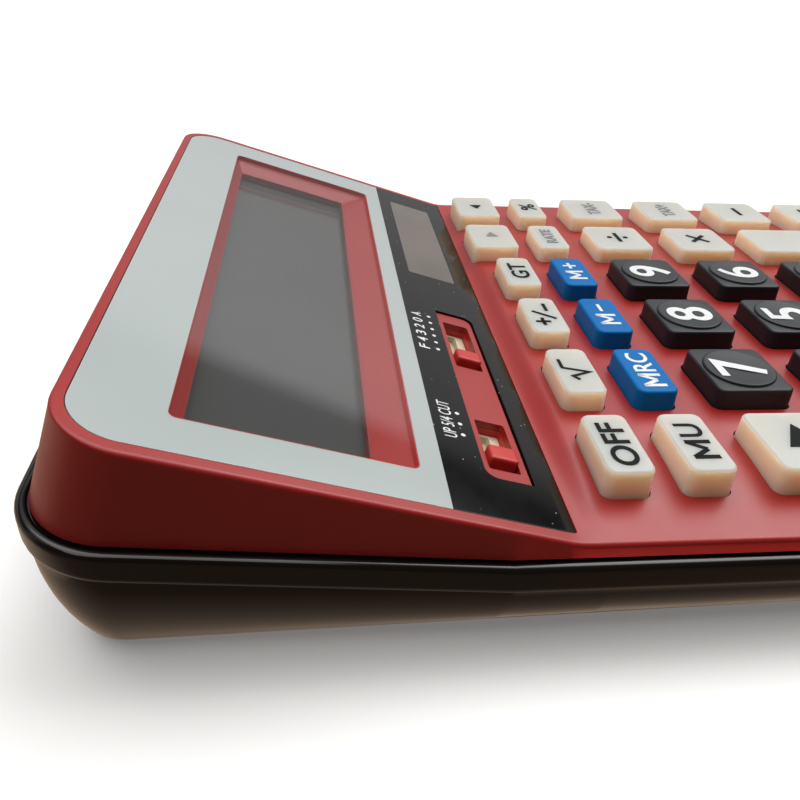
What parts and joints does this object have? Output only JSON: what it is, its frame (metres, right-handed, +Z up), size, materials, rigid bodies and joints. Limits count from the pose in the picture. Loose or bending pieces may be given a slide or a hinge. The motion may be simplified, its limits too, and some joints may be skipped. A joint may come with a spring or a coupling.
{
  "type": "desk calculator",
  "caption": "Desk calculator with a raised tilted display, sprung keys that press straight down, two slide switches and a twist-lock battery cover.",
  "frame": {"origin": "middle of the underside, at the level of the feet", "axes": "+X to the user's right, +Y towards the display end, +Z up"},
  "size_m": [0.153, 0.208, 0.0411],
  "materials": {
    "red_plastic": "satin moulded",
    "black_plastic": "polished moulded",
    "panel_print": "glossy printed sheet, pale with a black strip",
    "clear_plastic": "clear polished acrylic",
    "solar_tint": "tinted clear",
    "lcd": "grey reflective liquid crystal cell",
    "key_white": "satin",
    "key_blue": "satin",
    "key_dark": "satin",
    "beige_plastic": "moulded",
    "board": "coated fibre board",
    "grey_rubber": "silicone",
    "black_rubber": "moulded",
    "epoxy": "potted resin",
    "steel": "plated",
    "silicon": "dark cell"
  },
  "bodies": {
    "case": {"battery_contact_side": "steel", "battery_contact_top": "steel", "bottom_housing": "black_plastic", "button_cell": "steel", "controller_chip": "epoxy", "decimal_switch": "beige_plastic", "display_panel": "panel_print", "display_window": "clear_plastic", "foot_back_left": "black_rubber", "foot_back_right": "black_rubber", "foot_front_left": "black_rubber", "foot_front_right": "black_rubber", "key_membrane": "grey_rubber", "lcd_cell": "lcd", "lcd_connector": "grey_rubber", "main_board": "board", "rounding_switch": "beige_plastic", "screw_left": "steel", "screw_right": "steel", "solar_cell": "silicon", "solar_window": "solar_tint", "top_housing": "red_plastic"},
    "battery_cover": {"battery_cover": "black_plastic"},
    "key_0": {"key_0": "key_dark"},
    "key_00": {"key_00": "key_dark"},
    "key_1": {"key_1": "key_dark"},
    "key_2": {"key_2": "key_dark"},
    "key_3": {"key_3": "key_dark"},
    "key_4": {"key_4": "key_dark"},
    "key_5": {"key_5": "key_dark"},
    "key_6": {"key_6": "key_dark"},
    "key_7": {"key_7": "key_dark"},
    "key_8": {"key_8": "key_dark"},
    "key_9": {"key_9": "key_dark"},
    "key_all_clear": {"key_all_clear": "key_white"},
    "key_backspace": {"key_backspace": "key_white"},
    "key_check": {"key_check": "key_white"},
    "key_clear_entry": {"key_clear_entry": "key_white"},
    "key_correct": {"key_correct": "key_white"},
    "key_divide": {"key_divide": "key_white"},
    "key_equals": {"key_equals": "key_white"},
    "key_exchange": {"key_exchange": "key_white"},
    "key_grand_total": {"key_grand_total": "key_white"},
    "key_mark_up": {"key_mark_up": "key_white"},
    "key_memory_minus": {"key_memory_minus": "key_blue"},
    "key_memory_plus": {"key_memory_plus": "key_blue"},
    "key_memory_recall": {"key_memory_recall": "key_blue"},
    "key_minus": {"key_minus": "key_white"},
    "key_multiply": {"key_multiply": "key_white"},
    "key_off": {"key_off": "key_white"},
    "key_percent": {"key_percent": "key_white"},
    "key_plus": {"key_plus": "key_white"},
    "key_plus_minus": {"key_plus_minus": "key_white"},
    "key_point": {"key_point": "key_dark"},
    "key_square_root": {"key_square_root": "key_white"},
    "key_tax": {"key_tax": "key_white"},
    "key_tax_minus": {"key_tax_minus": "key_white"},
    "key_tax_plus": {"key_tax_plus": "key_white"},
    "decimal_knob": {"decimal_knob": "red_plastic"},
    "rounding_knob": {"rounding_knob": "red_plastic"}
  },
  "joints": [
    {"name": "decimal_slide", "type": "slide", "parent": "case", "child": "decimal_knob", "axis": [1, 0, 0], "range_m": [0, 0.011]},
    {"name": "rounding_slide", "type": "slide", "parent": "case", "child": "rounding_knob", "axis": [1, 0, 0], "range_m": [0, 0.007]},
    {"name": "battery_cover_turn", "type": "hinge", "parent": "case", "child": "battery_cover", "pos_m": [0.034, 0.07116, 0.0018], "axis": [0, 0, 1], "range_deg": [0, 60]},
    {"name": "key_0_press", "type": "slide", "parent": "case", "child": "key_0", "axis": [0, 0.0228, -0.9997], "range_m": [0, 0.0018], "stiffness_N_per_m": 250, "springref_m": -0.001, "deforming": ["key_membrane"]},
    {"name": "key_00_press", "type": "slide", "parent": "case", "child": "key_00", "axis": [0, 0.0228, -0.9997], "range_m": [0, 0.0018], "stiffness_N_per_m": 250, "springref_m": -0.001, "deforming": ["key_membrane"]},
    {"name": "key_1_press", "type": "slide", "parent": "case", "child": "key_1", "axis": [0, 0.0228, -0.9997], "range_m": [0, 0.0018], "stiffness_N_per_m": 250, "springref_m": -0.001, "deforming": ["key_membrane"]},
    {"name": "key_2_press", "type": "slide", "parent": "case", "child": "key_2", "axis": [0, 0.0228, -0.9997], "range_m": [0, 0.0018], "stiffness_N_per_m": 250, "springref_m": -0.001, "deforming": ["key_membrane"]},
    {"name": "key_3_press", "type": "slide", "parent": "case", "child": "key_3", "axis": [0, 0.0228, -0.9997], "range_m": [0, 0.0018], "stiffness_N_per_m": 250, "springref_m": -0.001, "deforming": ["key_membrane"]},
    {"name": "key_4_press", "type": "slide", "parent": "case", "child": "key_4", "axis": [0, 0.0228, -0.9997], "range_m": [0, 0.0018], "stiffness_N_per_m": 250, "springref_m": -0.001, "deforming": ["key_membrane"]},
    {"name": "key_5_press", "type": "slide", "parent": "case", "child": "key_5", "axis": [0, 0.0228, -0.9997], "range_m": [0, 0.0018], "stiffness_N_per_m": 250, "springref_m": -0.001, "deforming": ["key_membrane"]},
    {"name": "key_6_press", "type": "slide", "parent": "case", "child": "key_6", "axis": [0, 0.0228, -0.9997], "range_m": [0, 0.0018], "stiffness_N_per_m": 250, "springref_m": -0.001, "deforming": ["key_membrane"]},
    {"name": "key_7_press", "type": "slide", "parent": "case", "child": "key_7", "axis": [0, 0.0228, -0.9997], "range_m": [0, 0.0018], "stiffness_N_per_m": 250, "springref_m": -0.001, "deforming": ["key_membrane"]},
    {"name": "key_8_press", "type": "slide", "parent": "case", "child": "key_8", "axis": [0, 0.0228, -0.9997], "range_m": [0, 0.0018], "stiffness_N_per_m": 250, "springref_m": -0.001, "deforming": ["key_membrane"]},
    {"name": "key_9_press", "type": "slide", "parent": "case", "child": "key_9", "axis": [0, 0.0228, -0.9997], "range_m": [0, 0.0018], "stiffness_N_per_m": 250, "springref_m": -0.001, "deforming": ["key_membrane"]},
    {"name": "key_all_clear_press", "type": "slide", "parent": "case", "child": "key_all_clear", "axis": [0, 0.0228, -0.9997], "range_m": [0, 0.0018], "stiffness_N_per_m": 250, "springref_m": -0.001, "deforming": ["key_membrane"]},
    {"name": "key_backspace_press", "type": "slide", "parent": "case", "child": "key_backspace", "axis": [0, 0.0228, -0.9997], "range_m": [0, 0.0018], "stiffness_N_per_m": 250, "springref_m": -0.001, "deforming": ["key_membrane"]},
    {"name": "key_check_press", "type": "slide", "parent": "case", "child": "key_check", "axis": [0, 0.0228, -0.9997], "range_m": [0, 0.0018], "stiffness_N_per_m": 250, "springref_m": -0.001, "deforming": ["key_membrane"]},
    {"name": "key_clear_entry_press", "type": "slide", "parent": "case", "child": "key_clear_entry", "axis": [0, 0.0228, -0.9997], "range_m": [0, 0.0018], "stiffness_N_per_m": 250, "springref_m": -0.001, "deforming": ["key_membrane"]},
    {"name": "key_correct_press", "type": "slide", "parent": "case", "child": "key_correct", "axis": [0, 0.0228, -0.9997], "range_m": [0, 0.0018], "stiffness_N_per_m": 250, "springref_m": -0.001, "deforming": ["key_membrane"]},
    {"name": "key_divide_press", "type": "slide", "parent": "case", "child": "key_divide", "axis": [0, 0.0228, -0.9997], "range_m": [0, 0.0018], "stiffness_N_per_m": 250, "springref_m": -0.001, "deforming": ["key_membrane"]},
    {"name": "key_equals_press", "type": "slide", "parent": "case", "child": "key_equals", "axis": [0, 0.0228, -0.9997], "range_m": [0, 0.0018], "stiffness_N_per_m": 250, "springref_m": -0.001, "deforming": ["key_membrane"]},
    {"name": "key_exchange_press", "type": "slide", "parent": "case", "child": "key_exchange", "axis": [0, 0.0228, -0.9997], "range_m": [0, 0.0018], "stiffness_N_per_m": 250, "springref_m": -0.001, "deforming": ["key_membrane"]},
    {"name": "key_grand_total_press", "type": "slide", "parent": "case", "child": "key_grand_total", "axis": [0, 0.0228, -0.9997], "range_m": [0, 0.0018], "stiffness_N_per_m": 250, "springref_m": -0.001, "deforming": ["key_membrane"]},
    {"name": "key_mark_up_press", "type": "slide", "parent": "case", "child": "key_mark_up", "axis": [0, 0.0228, -0.9997], "range_m": [0, 0.0018], "stiffness_N_per_m": 250, "springref_m": -0.001, "deforming": ["key_membrane"]},
    {"name": "key_memory_minus_press", "type": "slide", "parent": "case", "child": "key_memory_minus", "axis": [0, 0.0228, -0.9997], "range_m": [0, 0.0018], "stiffness_N_per_m": 250, "springref_m": -0.001, "deforming": ["key_membrane"]},
    {"name": "key_memory_plus_press", "type": "slide", "parent": "case", "child": "key_memory_plus", "axis": [0, 0.0228, -0.9997], "range_m": [0, 0.0018], "stiffness_N_per_m": 250, "springref_m": -0.001, "deforming": ["key_membrane"]},
    {"name": "key_memory_recall_press", "type": "slide", "parent": "case", "child": "key_memory_recall", "axis": [0, 0.0228, -0.9997], "range_m": [0, 0.0018], "stiffness_N_per_m": 250, "springref_m": -0.001, "deforming": ["key_membrane"]},
    {"name": "key_minus_press", "type": "slide", "parent": "case", "child": "key_minus", "axis": [0, 0.0228, -0.9997], "range_m": [0, 0.0018], "stiffness_N_per_m": 250, "springref_m": -0.001, "deforming": ["key_membrane"]},
    {"name": "key_multiply_press", "type": "slide", "parent": "case", "child": "key_multiply", "axis": [0, 0.0228, -0.9997], "range_m": [0, 0.0018], "stiffness_N_per_m": 250, "springref_m": -0.001, "deforming": ["key_membrane"]},
    {"name": "key_off_press", "type": "slide", "parent": "case", "child": "key_off", "axis": [0, 0.0228, -0.9997], "range_m": [0, 0.0018], "stiffness_N_per_m": 250, "springref_m": -0.001, "deforming": ["key_membrane"]},
    {"name": "key_percent_press", "type": "slide", "parent": "case", "child": "key_percent", "axis": [0, 0.0228, -0.9997], "range_m": [0, 0.0018], "stiffness_N_per_m": 250, "springref_m": -0.001, "deforming": ["key_membrane"]},
    {"name": "key_plus_press", "type": "slide", "parent": "case", "child": "key_plus", "axis": [0, 0.0228, -0.9997], "range_m": [0, 0.0018], "stiffness_N_per_m": 250, "springref_m": -0.001, "deforming": ["key_membrane"]},
    {"name": "key_plus_minus_press", "type": "slide", "parent": "case", "child": "key_plus_minus", "axis": [0, 0.0228, -0.9997], "range_m": [0, 0.0018], "stiffness_N_per_m": 250, "springref_m": -0.001, "deforming": ["key_membrane"]},
    {"name": "key_point_press", "type": "slide", "parent": "case", "child": "key_point", "axis": [0, 0.0228, -0.9997], "range_m": [0, 0.0018], "stiffness_N_per_m": 250, "springref_m": -0.001, "deforming": ["key_membrane"]},
    {"name": "key_square_root_press", "type": "slide", "parent": "case", "child": "key_square_root", "axis": [0, 0.0228, -0.9997], "range_m": [0, 0.0018], "stiffness_N_per_m": 250, "springref_m": -0.001, "deforming": ["key_membrane"]},
    {"name": "key_tax_press", "type": "slide", "parent": "case", "child": "key_tax", "axis": [0, 0.0228, -0.9997], "range_m": [0, 0.0018], "stiffness_N_per_m": 250, "springref_m": -0.001, "deforming": ["key_membrane"]},
    {"name": "key_tax_minus_press", "type": "slide", "parent": "case", "child": "key_tax_minus", "axis": [0, 0.0228, -0.9997], "range_m": [0, 0.0018], "stiffness_N_per_m": 250, "springref_m": -0.001, "deforming": ["key_membrane"]},
    {"name": "key_tax_plus_press", "type": "slide", "parent": "case", "child": "key_tax_plus", "axis": [0, 0.0228, -0.9997], "range_m": [0, 0.0018], "stiffness_N_per_m": 250, "springref_m": -0.001, "deforming": ["key_membrane"]}
  ]
}
